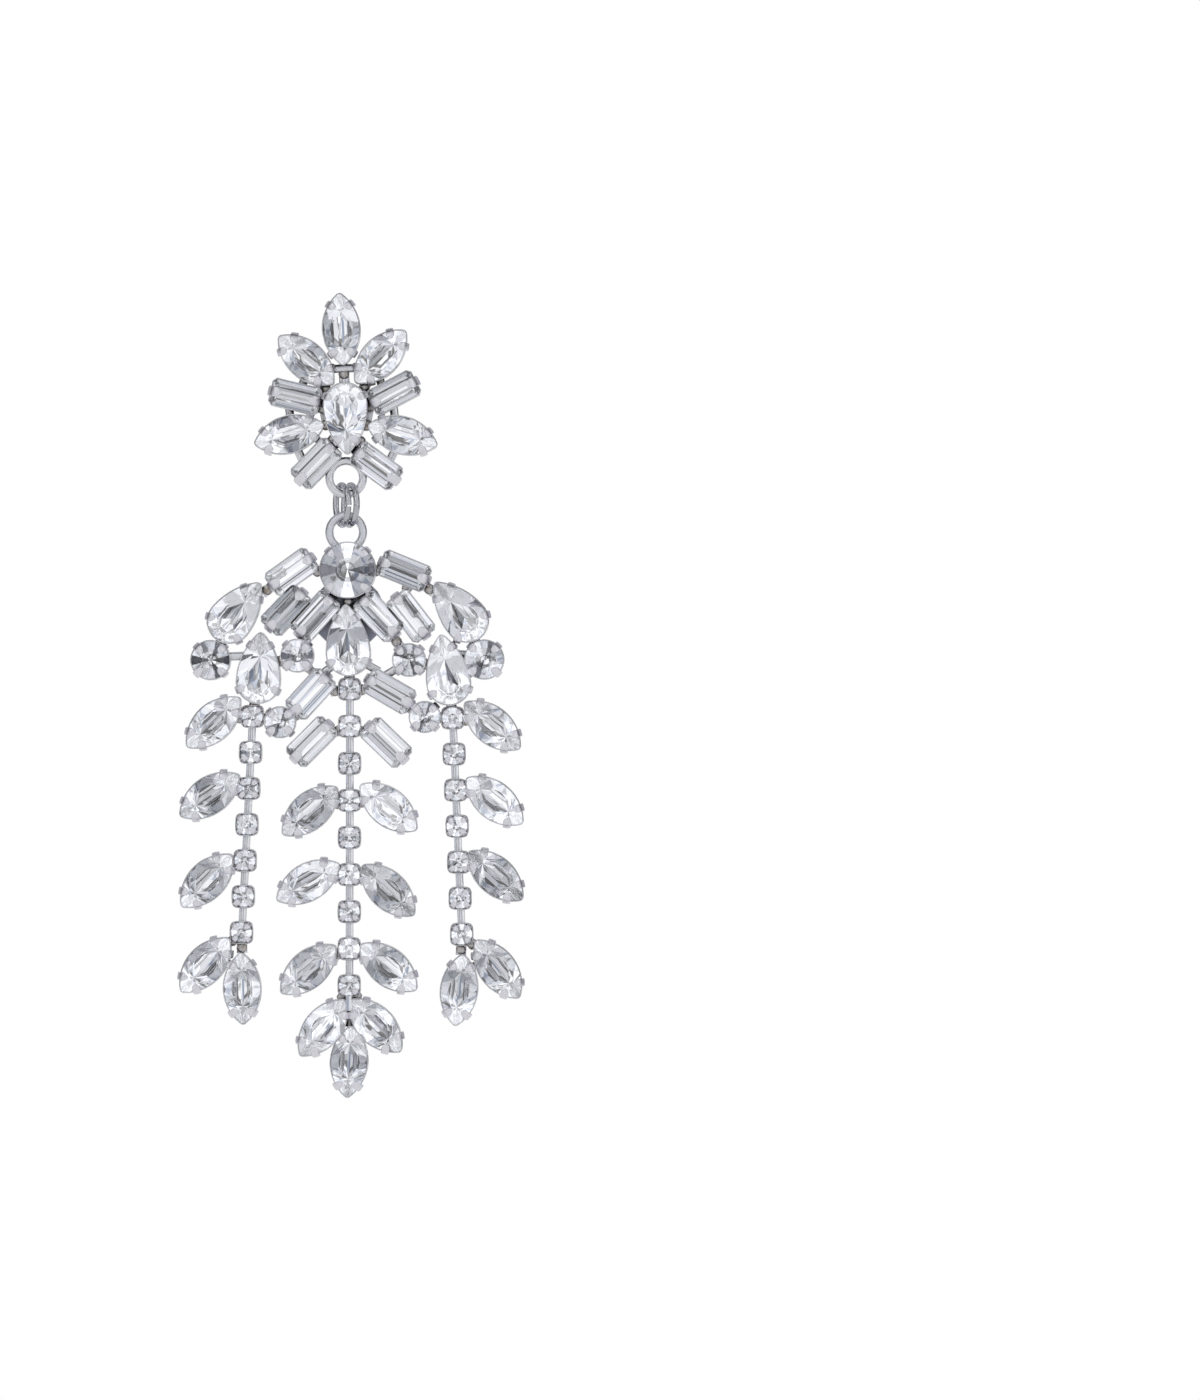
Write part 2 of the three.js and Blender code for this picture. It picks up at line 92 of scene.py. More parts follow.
# The cuts, as shares of the width, and the keel as a share of the length. A step or a star is a row of
# corners between the rows of the table, the girdle and the keel.
CUTS = {
    "navette": {"border": 0.20, "crown": 0.15, "pavilion": 0.38, "keel": 0.50},
    "pear": {"border": 0.20, "crown": 0.15, "pavilion": 0.38, "keel": 0.30},
    "baguette": {"border": 0.23, "crown": 0.19, "pavilion": 0.42, "keel": 0.68},
    "round": {"border": 0.27, "crown": 0.17, "pavilion": 0.39, "keel": 0.0},
}
STEP_CROWN = {"border": 0.45, "crown": 0.66}
STEP_BACK = {"width": 0.20, "pavilion": 0.50}
STAR_CROWN = {"border": 0.50, "crown": 0.58}
STAR_BACK = {"width": 0.26, "pavilion": 0.62}
STARS = {"navette": 8, "pear": 8, "round": 12}
GIRDLE_STEPS = 8
# How a stone lies in its cup. The large round one was found a little wider and higher than its solid.
TILT_SEED = 7919
STONE_TILT = math.radians(4.5)
STONE_LEAN = math.radians(2.7)
LARGE_ROUND_SPREAD = 0.22 * MM
LARGE_ROUND_RISE = LARGE_ROUND_SPREAD / 3
# Where two corners are one, where two faces are one flat, and where an edge stays sharp.
SAME_PLACE = 0.001 * MM
FLAT_WITHIN = math.radians(0.5)
SHARP_OVER = math.radians(38)


def linear(hex_colour):
    """An sRGB hex colour as linear red, green, blue and alpha."""
    parts = [int(hex_colour[i:i + 2], 16) / 255 for i in (1, 3, 5)]
    return [c / 12.92 if c <= 0.04045 else ((c + 0.055) / 1.055) ** 2.4 for c in parts] + [1]


def add_node(material, kind, settings=None, inputs=None, links=None, tones=None):
    """Adds one node with its settings, input values, links from other outputs and tones of its ramp."""
    tree = material.node_tree
    node = tree.nodes.new(kind)
    for name, value in (settings or {}).items():
        setattr(node, name, value)
    for name, value in (inputs or {}).items():
        node.inputs[name].default_value = value
    for name, output in (links or {}).items():
        tree.links.new(output, node.inputs[name])
    if tones:
        stops = node.color_ramp.elements
        for stop, (position, colour) in zip(stops, (tones[0], tones[-1])):
            stop.position = position
            stop.color = linear(colour)
        for position, colour in tones[1:-1]:
            stops.new(position).color = linear(colour)
    return node


def new_material(name):
    """A material whose node tree is still empty."""
    material = bpy.data.materials.new(name)
    material.use_nodes = True
    material.node_tree.nodes.clear()
    return material


def close_material(material, shader, bump=None):
    """Leads a shader to the material's output, and a bump to the shader."""
    output = add_node(material, "ShaderNodeOutputMaterial")
    material.node_tree.links.new(shader.outputs[0], output.inputs["Surface"])
    if bump:
        material.node_tree.links.new(bump.outputs["Normal"], shader.inputs["Normal"])
    return material


def cut_glass():
    """Polished soda glass, clear and very faintly cool: bright edges and sharp bent reflections."""
    material = new_material("cut_glass")
    place = add_node(material, "ShaderNodeTexCoord")
    streaks = add_node(material, "ShaderNodeTexNoise", inputs={"Scale": 1 / GLASS_STREAK, "Detail": 1.0},
                       links={"Vector": place.outputs["Object"]})
    clearness = add_node(material, "ShaderNodeMapRange", inputs={"To Min": 0.975, "To Max": 1.0},
                         links={"Value": streaks.outputs["Fac"]})
    tint = add_node(material, "ShaderNodeHueSaturation", inputs={"Color": linear(GLASS_TINT)},
                    links={"Value": clearness.outputs["Result"]})
    polish = add_node(material, "ShaderNodeMapRange", inputs={"To Min": 0.0, "To Max": 0.015},
                      links={"Value": streaks.outputs["Fac"]})
    shader = add_node(material, "ShaderNodeBsdfPrincipled",
                      inputs={"IOR": 1.52, "Transmission Weight": 1.0},
                      links={"Base Color": tint.outputs["Color"], "Roughness": polish.outputs["Result"]})
    return close_material(material, shader)


def mirror_foil(name, silver, glow):
    """Silver foil fired on the back facets: each facet is a flat mirror seen through the glass.

    Its glow is painted light: it stands for the light that goes on bouncing between the facets of a real stone,
    so some facets flash white and others stay grey. A foil with a darker silver is painted shade, so its facet
    looks dark.
    """
    material = new_material(name)
    place = add_node(material, "ShaderNodeTexCoord")
    patches = add_node(material, "ShaderNodeTexNoise", inputs={"Scale": 1 / FOIL_PATCH, "Detail": 2.0},
                       links={"Vector": place.outputs["Object"]})
    cover = add_node(material, "ShaderNodeMapRange", inputs={"To Min": 0.93, "To Max": 1.03},
                     links={"Value": patches.outputs["Fac"]})
    tone = add_node(material, "ShaderNodeHueSaturation", inputs={"Color": linear(silver)},
                    links={"Value": cover.outputs["Result"]})
    rough = add_node(material, "ShaderNodeMapRange", inputs={"To Min": 0.01, "To Max": 0.06},
                     links={"Value": patches.outputs["Fac"]})
    # Painted light: the emission makes the foil glow, and a darker silver paints shade.
    shader = add_node(material, "ShaderNodeBsdfPrincipled",
                      inputs={"Metallic": 1.0, "Emission Color": linear(PAINTED_GLOW),
                              "Emission Strength": glow},
                      links={"Base Color": tone.outputs["Color"], "Roughness": rough.outputs["Result"]})
    return close_material(material, shader)


GLASS = cut_glass()
FOIL = [mirror_foil(name, **look) for name, look in FOILS.items()]


def outline_point(cut, length, width, share, grow):
    """A point on a stone's outline, its point along +X, at a share of the way round, set out by grow."""
    half = width / 2
    if cut == "round":
        angle = 2 * math.pi * share
        return ((half + grow) * math.cos(angle), (half + grow) * math.sin(angle))
    if cut == "baguette":
        x = length / 2 + grow
        y = half + grow
        clip = max(CORNER_CUT + grow * CORNER_GROWTH, LEAST_CORNER_CUT)
        corners = [(x, -y + clip), (x, y - clip), (x - clip, y), (-x + clip, y),
                   (-x, y - clip), (-x, -y + clip), (-x + clip, -y), (x - clip, -y)]
        side = int(share * BAGUETTE_CORNERS) % BAGUETTE_CORNERS
        along = share * BAGUETTE_CORNERS % 1
        x0, y0 = corners[side]
        x1, y1 = corners[(side + 1) % BAGUETTE_CORNERS]
        return (x0 + (x1 - x0) * along, y0 + (y1 - y0) * along)
    middle = 0 if cut == "navette" else half - length / 2
    reach = length / 2 - middle
    bow = (reach ** 2 + half ** 2) / (2 * half)
    sunk = bow - half
    quarter = share * 4 % 1
    side = int(share * 4) % 4
    if cut == "pear" and side in (1, 2):
        angle = 2 * math.pi * share
        return (middle + (half + grow) * math.cos(angle), (half + grow) * math.sin(angle))
    turn = 1 - quarter if side in (0, 2) else quarter
    blunt = max(TIP_RADIUS, -grow)
    tip_middle = math.sqrt((bow - blunt) ** 2 - sunk ** 2)
    meet = math.asin(tip_middle / (bow - blunt))
    if turn < BOW_SHARE:
        angle = meet * turn / BOW_SHARE
        x = (bow + grow) * math.sin(angle)
        y = (bow + grow) * math.cos(angle) - sunk
    else:
        angle = meet + (math.pi / 2 - meet) * (turn - BOW_SHARE) / (1 - BOW_SHARE)
        x = tip_middle + (blunt + grow) * math.sin(angle)
        y = (blunt + grow) * math.cos(angle)
    return (middle + (x if side in (0, 3) else -x), y if side < 2 else -y)


def ring(cut, stone, count, phase, grow, height):
    """Points round a stone's outline at one height over its girdle."""
    points = []
    for step in range(count):
        x, y = outline_point(cut, stone["length"], stone["width"], (step + phase) / count, grow)
        points.append(Vector((x, y, height)))
    return points


def stone_points(cut, stone):
    """The corners of a faceted stone, which its hull turns into table, crown, girdle and back facets."""
    shape = CUTS[cut]
    width = stone["width"]
    border = shape["border"] * width
    crown = shape["crown"] * width
    deep = shape["pavilion"] * width
    keel = shape["keel"] * stone["length"] / 2
    if cut == "baguette":
        steps = [(-border, crown), (-STEP_CROWN["border"] * border, STEP_CROWN["crown"] * crown), (0, 0),
                 (0, -GIRDLE_BAND), (-STEP_BACK["width"] * width, -STEP_BACK["pavilion"] * deep)]
        points = [p for grow, height in steps
                  for p in ring(cut, stone, BAGUETTE_CORNERS, 0, grow, height)]
    else:
        stars = STARS[cut]
        points = ring(cut, stone, stars, 0, -border, crown)
        points += ring(cut, stone, stars, 0.5, -STAR_CROWN["border"] * border, STAR_CROWN["crown"] * crown)
        points += ring(cut, stone, GIRDLE_STEPS * stars, 0, 0, 0)
        points += ring(cut, stone, GIRDLE_STEPS * stars, 0, 0, -GIRDLE_BAND)
        points += ring(cut, stone, stars, 0.5, -STAR_BACK["width"] * width, -STAR_BACK["pavilion"] * deep)
    return points + [Vector((keel, 0, -deep)), Vector((-keel, 0, -deep))]


def own_draw(stone, salt):
    """A seeded draw of each stone's own, from its place in hundredths of a millimetre."""
    return random.Random(round(stone["x"] * 1e5) * salt + round(stone["z"] * 1e5))


def stone_mesh(cut, stone):
    """A closed faceted mesh: glass over the girdle, foil under it, with painted glow and painted shade given facet
    by facet, and more glow near the tips.
    """
    draw = own_draw(stone, FOIL_SEED)
    keel = CUTS[cut]["keel"] * stone["length"] / 2
    half_deep = -0.5 * CUTS[cut]["pavilion"] * stone["width"]
    tips = [[draw.choice(TIP_FOILS) for _ in range(SECTORS)] for _ in range(2)]
    kind = "small" if stone["width"] < SMALL_STONE else cut
    bodies = [[draw.choice(BODY_FOILS[kind]) for _ in range(SECTORS)] for _ in range(2)]
    mesh = bmesh.new()
    for point in stone_points(cut, stone):
        mesh.verts.new(point)
    bmesh.ops.remove_doubles(mesh, verts=mesh.verts, dist=SAME_PLACE)
    bmesh.ops.convex_hull(mesh, input=mesh.verts)
    loose = [v for v in mesh.verts if not v.link_faces]
    bmesh.ops.delete(mesh, geom=loose, context="VERTS")
    bmesh.ops.dissolve_limit(mesh, angle_limit=FLAT_WITHIN, verts=mesh.verts, edges=mesh.edges)
    bmesh.ops.recalc_face_normals(mesh, faces=mesh.faces)
    for face in mesh.faces:
        middle = face.calc_center_median()
        if middle.z < -GIRDLE_BAND - SAME_PLACE:
            around = math.atan2(middle.y / stone["width"], middle.x / stone["length"]) / (2 * math.pi)
            sector = int((around + 1) * SECTORS + 0.5) % SECTORS
            tier = int(middle.z < half_deep and cut != "round")
            at_tip = cut in ("navette", "pear") and abs(middle.x) > keel
            face.material_index = (tips if at_tip else bodies)[tier][sector]
    return mesh


def placed_stone(cut, points):
    """Where a stone lies, from the corners of its girdle: its middle, turn, length, width and height."""
    flat = np.array([(p.x, p.z) for p in points])
    centre = flat.mean(0)
    axes = np.linalg.eigh(np.cov((flat - centre).T))[1]
    axis = axes[:, 1] if cut != "round" else np.array([1.0, 0.0])
    along = (flat - centre) @ axis
    if -along.min() > along.max():
        axis = -axis
        along = -along
    across = (flat - centre) @ np.array([-axis[1], axis[0]])
    centre = centre + axis * (along.min() + along.max()) / 2
    centre = centre + np.array([-axis[1], axis[0]]) * (across.min() + across.max()) / 2
    return {"cut": cut, "x": centre[0], "z": centre[1], "turn": math.atan2(axis[1], axis[0]),
            "length": along.max() - along.min() + 2 * STONE_SPREAD,
            "width": across.max() - across.min() + 2 * STONE_SPREAD, "y": points[0].y}


def levels(node):
    """A CAD node's corners, gathered by their depth, the front ones first."""
    found = {}
    for vertex in frame["nodes"][node].data.vertices:
        found.setdefault(round(vertex.co.y, 6), []).append(vertex.co.copy())
    return [found[y] for y in sorted(found)]


def cut_of(node):
    """The cut of a stone, which its node's name ends in."""
    return next(cut for cut in CUTS if cut in node)


def to_world(stone):
    """The matrix from a stone's own axes, with its table towards +Z, to where it lies facing -Y."""
    turn = Matrix.Rotation(stone["turn"], 4, "Z")
    face = Matrix.Rotation(math.pi / 2, 4, "X")
    return Matrix.Translation((stone["x"], stone["y"], stone["z"])) @ face @ turn


def bedded(stone):
    """The matrix of a stone as it beds in its cup, tipped a few degrees one way or another."""
    draw = own_draw(stone, TILT_SEED)
    tip = Matrix.Rotation(draw.uniform(-1, 1) * STONE_TILT, 4, "X")
    lean = Matrix.Rotation(draw.uniform(-1, 1) * STONE_LEAN, 4, "Y")
    return to_world(stone) @ tip @ lean


def new_object(name, mesh, materials, smooth=True):
    """Turns a bmesh into an object with its materials."""
    data = bpy.data.meshes.new(name)
    mesh.to_mesh(data)
    mesh.free()
    for material in materials:
        data.materials.append(material)
    if smooth:
        data.shade_smooth()
        data.set_sharp_from_angle(angle=SHARP_OVER)
    thing = bpy.data.objects.new(name, data)
    bpy.context.scene.collection.objects.link(thing)
    return thing


BODY_OF = {node: body for body, nodes in frame["record"]["behaviour"]["bodies"].items() for node in nodes}
LOOSE_STONES = {}
for node in frame["nodes"]:
    if BODY_OF[node] == "rings" or not any(cut in node for cut in CUTS):
        continue
    cut = cut_of(node)
    stone = placed_stone(cut, levels(node)[1])
    stone["body"] = BODY_OF[node]
    if node == "large_round":
        stone["width"] += LARGE_ROUND_SPREAD
        stone["z"] += LARGE_ROUND_RISE
    LOOSE_STONES[node] = stone
    mesh = stone_mesh(cut, stone)
    bmesh.ops.transform(mesh, matrix=bedded(stone), verts=mesh.verts)
    gem = new_object(f"{node}_stone", mesh, [GLASS] + FOIL, smooth=False)
    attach(gem, BODY_OF[node])
    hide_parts(node)

# Claw settings of the stud and the drop. Each is a pressed brass cup with claws folded over the stone,
# joined to its neighbours by bars soldered on behind, and the whole is plated silver-bright.
# The cup: its wall, its rim over the girdle, and its floor, sunk at the back.
WALL = 0.12 * MM
STONE_GAP = 0.02 * MM
RIM_STAND = 0.07 * MM
BACK_SUNK = 0.22 * MM
BACK_HOLE = 0.22
EDGE_ROUNDING = 0.05 * MM
CUP_SIDES = 64
SMALL_CUP_SQUARENESS = 4.5
OUTLINE_STEPS = 96
# The claws. Those without a unit are shares of a whole claw or of the way along it.
CLAW_HALF_WIDTH = 0.44 * MM
CLAW_HALF_THICKNESS = 0.12 * MM
LEAST_CLAW_THICKNESS = 0.8
CLAW_REACH = 0.82 * MM
CLAW_STAND = 0.08 * MM
CLAW_SUNK_IN_WALL = 0.45
CLAW_ROOT = 0.9 * MM
CLAW_KNEE_OUT = 0.01 * MM
CLAW_KNEE_UP = 0.05 * MM
CLAW_STEPS = 9
CLAW_SIDES = 10
CLAW_ROUND_FROM = 0.72
CLAW_ROUND_SPAN = 0.29
CLAW_LEAST_ROUNDING = 0.03
CLAW_TIP_THICKNESS = 0.4
CLAW_SQUARENESS = 0.6
EDGE_SQUARENESS = 0.8
SMALL_CLAW_SHARE = 0.66
END_CLAW_SHARE = 1.3
CLAW_BEARINGS = {
    "navette": [24, 156, 204, 336],
    "pear": [25, 140, 220, 335],
    "baguette": [0, 180],
    "round": [45, 135, 225, 315],
}
# Bars between settings, lumps of solder, and short struts, which are called bridges.
BAR_WIDTH = 1.15 * MM
BAR_THICKNESS = 0.55 * MM
BAR_SIDES = 12
LEAST_HALF_BAR = 0.1 * MM
LET_IN = 0.8 * WALL
SOLDER_RADIUS = 0.62 * MM
SOLDER_DEPTH = 0.75 * BAR_THICKNESS
SOLDER_FLATNESS = 0.5
SOLDER_SWELL = 0.06
BRIDGE_WIDTH = 0.95 * MM
BRIDGE_THICKNESS = 0.8 * MM
BRIDGE_BITE = 0.4 * MM
SOLDER_SEED = 10
# The finishes: how large their marks are, and their colours.
# Painted shade, with a brown tarnish tint, where the plate lies in crevices and between parts.
CREVICE_SHADE_REACH = 0.9 * MM
PLATE_RUB = 0.6 * MM
SOLDER_LUMP = 0.3 * MM
CLAW_RUB = 0.35 * MM
LOOP_GRAIN = 0.2 * MM
PLATE_SILVER = "#EDEDF0"
CREVICE_SHADE_BROWN = "#4A4037"
CLAW_LILAC = "#F8F6FB"
LOOP_GREY = "#EBECF1"
SOLDER_GREY = "#D6D4D3"
SOLDER_WARM = "#B3A797"
# The finishes by their place in a setting's list, and the depth of all the cups' backs.
BACK_DEPTH = max(p.y for p in levels("drop_frame")[-1])
SOLDER_INDEX = 1
CLAW_INDEX = 2
LOOP_INDEX = 3


def silver_plate():
    """Bright silver plate on pressed brass: a near mirror, lightly rubbed, with painted shade that turns it brown
    and dull in the crevices, partly as tarnish.
    """
    material = new_material("silver_plate")
    place = add_node(material, "ShaderNodeTexCoord")
    rub = add_node(material, "ShaderNodeTexNoise", inputs={"Scale": 1 / PLATE_RUB, "Detail": 3.0},
                   links={"Vector": place.outputs["Object"]})
    rough = add_node(material, "ShaderNodeMapRange", inputs={"To Min": 0.10, "To Max": 0.26},
                     links={"Value": rub.outputs["Fac"]})
    # Painted shade: ambient occlusion darkens the plate to brown in its crevices.
    crevice_shade = add_node(material, "ShaderNodeAmbientOcclusion", {"samples": 6}, {"Distance": CREVICE_SHADE_REACH})
    tint = add_node(material, "ShaderNodeValToRGB", links={"Fac": crevice_shade.outputs["AO"]},
                    tones=[(0.12, CREVICE_SHADE_BROWN), (0.56, PLATE_SILVER)])
    shader = add_node(material, "ShaderNodeBsdfPrincipled", inputs={"Metallic": 1.0},
                      links={"Base Color": tint.outputs["Color"], "Roughness": rough.outputs["Result"]})
    bump = add_node(material, "ShaderNodeBump", inputs={"Strength": 0.12, "Distance": 0.02 * MM},
                    links={"Height": rub.outputs["Fac"]})
    return close_material(material, shader, bump)


def plated_solder():
    """Soft solder under the plate: lumpier, duller and a little warm where the plate is thin."""
    material = new_material("plated_solder")
    place = add_node(material, "ShaderNodeTexCoord")
    lumps = add_node(material, "ShaderNodeTexNoise", inputs={"Scale": 1 / SOLDER_LUMP, "Detail": 4.0},
                     links={"Vector": place.outputs["Object"]})
    tint = add_node(material, "ShaderNodeValToRGB", links={"Fac": lumps.outputs["Fac"]},
                    tones=[(0.34, SOLDER_WARM), (0.55, SOLDER_GREY)])
    shader = add_node(material, "ShaderNodeBsdfPrincipled", inputs={"Metallic": 1.0, "Roughness": 0.32},
                      links={"Base Color": tint.outputs["Color"]})
    bump = add_node(material, "ShaderNodeBump", inputs={"Strength": 0.3, "Distance": 0.05 * MM},
                    links={"Height": lumps.outputs["Fac"]})
    return close_material(material, shader, bump)


def rubbed_claw():
    """The claws' silver, pushed over with a steel tool and tumbled: a soft lilac-grey sheen, no mirror.

    The rubbed marks are drawn coarser than real ones, so that they show.
    """
    material = new_material("rubbed_claw")
    place = add_node(material, "ShaderNodeTexCoord")
    rub = add_node(material, "ShaderNodeTexNoise", inputs={"Scale": 1 / CLAW_RUB, "Detail": 3.0},
                   links={"Vector": place.outputs["Object"]})
    rough = add_node(material, "ShaderNodeMapRange", inputs={"To Min": 0.26, "To Max": 0.44},
                     links={"Value": rub.outputs["Fac"]})
    shader = add_node(material, "ShaderNodeBsdfPrincipled", inputs={
        "Base Color": linear(CLAW_LILAC), "Metallic": 1.0}, links={"Roughness": rough.outputs["Result"]})
    bump = add_node(material, "ShaderNodeBump", inputs={"Strength": 0.15, "Distance": 0.02 * MM},
                    links={"Height": rub.outputs["Fac"]})
    return close_material(material, shader, bump)


def satin_loop():
    """The drop's loop, cast and barrel polished: an even satin grey with soft, broad highlights.

    Its grain is drawn coarser than the real one, so that it shows.
    """
    material = new_material("satin_loop")
    place = add_node(material, "ShaderNodeTexCoord")
    grain = add_node(material, "ShaderNodeTexNoise", inputs={"Scale": 1 / LOOP_GRAIN, "Detail": 4.0},
                     links={"Vector": place.outputs["Object"]})
    rough = add_node(material, "ShaderNodeMapRange", inputs={"To Min": 0.34, "To Max": 0.48},
                     links={"Value": grain.outputs["Fac"]})
    shader = add_node(material, "ShaderNodeBsdfPrincipled", inputs={
        "Base Color": linear(LOOP_GREY), "Metallic": 1.0}, links={"Roughness": rough.outputs["Result"]})
    bump = add_node(material, "ShaderNodeBump", inputs={"Strength": 0.1, "Distance": 0.01 * MM},
                    links={"Height": grain.outputs["Fac"]})
    return close_material(material, shader, bump)


PLATE = silver_plate()
SOLDER = plated_solder()
CLAW = rubbed_claw()
SATIN = satin_loop()


def join_rings(mesh, rings, first_cap=True, last_cap=True, material=0):
    """Skins closed rings of points into a tube, with its ends capped."""
    corners = [[mesh.verts.new(p) for p in points] for points in rings]
    for low, high in zip(corners, corners[1:]):
        for k in range(len(low)):
            after = (k + 1) % len(low)
            mesh.faces.new((low[k], low[after], high[after], high[k])).material_index = material
    if first_cap:
        mesh.faces.new(corners[0][::-1]).material_index = material
    if last_cap:
        mesh.faces.new(corners[-1]).material_index = material


def moved_rings(rings, matrix):
    """Rings of points, moved by a matrix."""
    return [[matrix @ p for p in points] for points in rings]


def squared(value, power):
    """A sine or a cosine swelled towards plus or minus one, which draws a circle out to a soft square."""
    return math.copysign(abs(value) ** power, value)


def chain_cup_outline(half, share, grow):
    """A point on the rounded square of a small cup."""
    angle = 2 * math.pi * share
    power = SMALL_CUP_SQUARENESS
    size = (abs(math.cos(angle)) ** power + abs(math.sin(angle)) ** power) ** (1 / power)
    reach = half / size + grow
    return (reach * math.cos(angle), reach * math.sin(angle))


def add_cup(mesh, stone, small=False):
    """One pressed cup: a thin wall with rounded edges round the stone, and a sunk floor at the back."""
    deep = BACK_DEPTH - stone["y"]
    outer = STONE_GAP + WALL
    floor = -CUTS[stone["cut"]]["pavilion"] * stone["width"] - STONE_GAP
    soft = EDGE_ROUNDING
    sunk = min(BACK_SUNK, 0.5 * (deep + floor))
    hole = -BACK_HOLE * stone["width"]
    profile = [(hole, -deep + sunk), (hole + soft, -deep + soft / 2), (hole + 2 * soft, -deep),
               (outer - 5 * soft, -deep), (outer - 3 * soft, -deep),
               (outer - soft, -deep + soft), (outer, -deep + 3 * soft),
               (outer, RIM_STAND - soft), (outer - soft, RIM_STAND), (STONE_GAP + soft / 2, RIM_STAND),
               (STONE_GAP, RIM_STAND - soft), (STONE_GAP, floor)]
    sides = BAGUETTE_CORNERS if stone["cut"] == "baguette" else CUP_SIDES
    rings = []
    for grow, height in profile:
        if small:
            points = [chain_cup_outline(stone["width"] / 2, k / sides, grow) for k in range(sides)]
            rings.append([Vector((x, y, height)) for x, y in points])
        else:
            rings.append(ring(stone["cut"], stone, sides, 0, grow, height))
    join_rings(mesh, moved_rings(rings, to_world(stone)))


def edge_at(stone, bearing):
    """Where a ray at a bearing from a stone's middle leaves its outline, and the way out there."""
    count = OUTLINE_STEPS
    outline = [p.to_2d() for p in ring(stone["cut"], stone, count, 0, 0, 0)]
    ray = Vector((math.cos(bearing), math.sin(bearing)))
    best = max(range(count), key=lambda k: outline[k].normalized().dot(ray))
    along = outline[(best + 1) % count] - outline[best - 1]
    return ray * outline[best].length, Vector((along.y, -along.x)).normalized()


def add_claw(mesh, stone, bearing, share):
    """A claw: a flat tab with a round end, up from the cup's wall and folded down on the crown."""
    shape = CUTS[stone["cut"]]
    place, out = edge_at(stone, math.radians(bearing))
    half_width = CLAW_HALF_WIDTH * share
    half_thick = CLAW_HALF_THICKNESS * max(share, LEAST_CLAW_THICKNESS)
    reach = CLAW_REACH * share
    stand = STONE_GAP + WALL + half_thick * CLAW_SUNK_IN_WALL + CLAW_STAND * share
    lie = min(shape["crown"] / shape["border"] * reach, shape["crown"] * stone["width"])
    foot = Vector((stand, -CLAW_ROOT * share))
    knee = Vector((stand + CLAW_KNEE_OUT, lie + half_thick + CLAW_KNEE_UP))
    tip = Vector((-reach, lie + half_thick))
    side = Vector((-out.y, out.x))
    rings = []
    for step in range(CLAW_STEPS + 1):
        t = step / CLAW_STEPS
        middle = foot * (1 - t) ** 2 + knee * 2 * t * (1 - t) + tip * t * t
        way = ((knee - foot) * (1 - t) + (tip - knee) * t).normalized()
        up = Vector((-way.y, way.x))
        rounding = 1.0
        if t >= CLAW_ROUND_FROM:
            bent = (t - CLAW_ROUND_FROM) / CLAW_ROUND_SPAN
            rounding = math.sqrt(max(CLAW_LEAST_ROUNDING, 1 - bent ** 2))
        thickness = half_thick * (CLAW_TIP_THICKNESS + (1 - CLAW_TIP_THICKNESS) * rounding)
        points = []
        for k in range(CLAW_SIDES):
            angle = 2 * math.pi * k / CLAW_SIDES
            across = half_width * rounding * squared(math.cos(angle), CLAW_SQUARENESS)
            thick = thickness * squared(math.sin(angle), EDGE_SQUARENESS)
            flat = place + out * (middle.x + up.x * thick) + side * across
            points.append(Vector((flat.x, flat.y, middle.y + up.y * thick)))
        rings.append(points)
    join_rings(mesh, moved_rings(rings, to_world(stone)), material=CLAW_INDEX)


def add_setting(mesh, stone, small=False):
    """A cup with its claws: small ones on a chain's links, broad ones on a baguette's ends."""
    add_cup(mesh, stone, small)
    share = 1.0
    if small:
        share = SMALL_CLAW_SHARE
    elif stone["cut"] == "baguette":
        share = END_CLAW_SHARE
    for bearing in CLAW_BEARINGS[stone["cut"]]:
        add_claw(mesh, stone, bearing, share)


def cup_reach(stone, world_bearing):
    """How far the cup's outside is from the stone's middle, in a direction of the face."""
    place, _ = edge_at(stone, world_bearing - stone["turn"])
    return place.length + STONE_GAP + WALL


def add_bar(mesh, start, end, width, thickness):
    """A bar with rounded edges on the back of the settings, between two places of the face."""
    along = (end - start).normalized()
    side = Vector((-along.y, along.x))
    rings = []
    for place in (start, end):
        points = []
        for k in range(BAR_SIDES):
            angle = 2 * math.pi * k / BAR_SIDES
            flat = place + side * (width / 2 * squared(math.cos(angle), EDGE_SQUARENESS))
            up = thickness / 2 * squared(math.sin(angle), EDGE_SQUARENESS)
            points.append(Vector((flat.x, BACK_DEPTH - thickness / 2 - up, flat.y)))
        rings.append(points)
    join_rings(mesh, rings)


def add_solder(mesh, place, draw):
    """A small flattened lump of solder at a joint."""
    matrix = Matrix.Translation((place.x, BACK_DEPTH - SOLDER_DEPTH, place.y))
    made = bmesh.ops.create_icosphere(mesh, subdivisions=2, radius=SOLDER_RADIUS, matrix=matrix)
    for vertex in made["verts"]:
        offset = vertex.co - matrix.translation
        swell = 1 + draw.uniform(-SOLDER_SWELL, SOLDER_SWELL)
        flattened = Vector((offset.x * swell, offset.y * SOLDER_FLATNESS, offset.z * swell))
        vertex.co = matrix.translation + flattened
    for face in {f for v in made["verts"] for f in v.link_faces}:
        face.material_index = SOLDER_INDEX


def add_joint_bar(mesh, child, carrier, draw):
    """The bar between two soldered settings, let into both cups, with a lump of solder on its middle."""
    a = Vector((carrier["x"], carrier["z"]))
    b = Vector((child["x"], child["z"]))
    bearing = math.atan2((b - a).y, (b - a).x)
    along = (b - a).normalized()
    start = a + along * (cup_reach(carrier, bearing) - LET_IN)
    end = b - along * (cup_reach(child, bearing + math.pi) - LET_IN)
    middle = (start + end) / 2
    if (end - start).dot(along) < LEAST_HALF_BAR:
        start = middle - along * LEAST_HALF_BAR
        end = middle + along * LEAST_HALF_BAR
    add_bar(mesh, start, end, BAR_WIDTH, BAR_THICKNESS)
    add_solder(mesh, middle, draw)


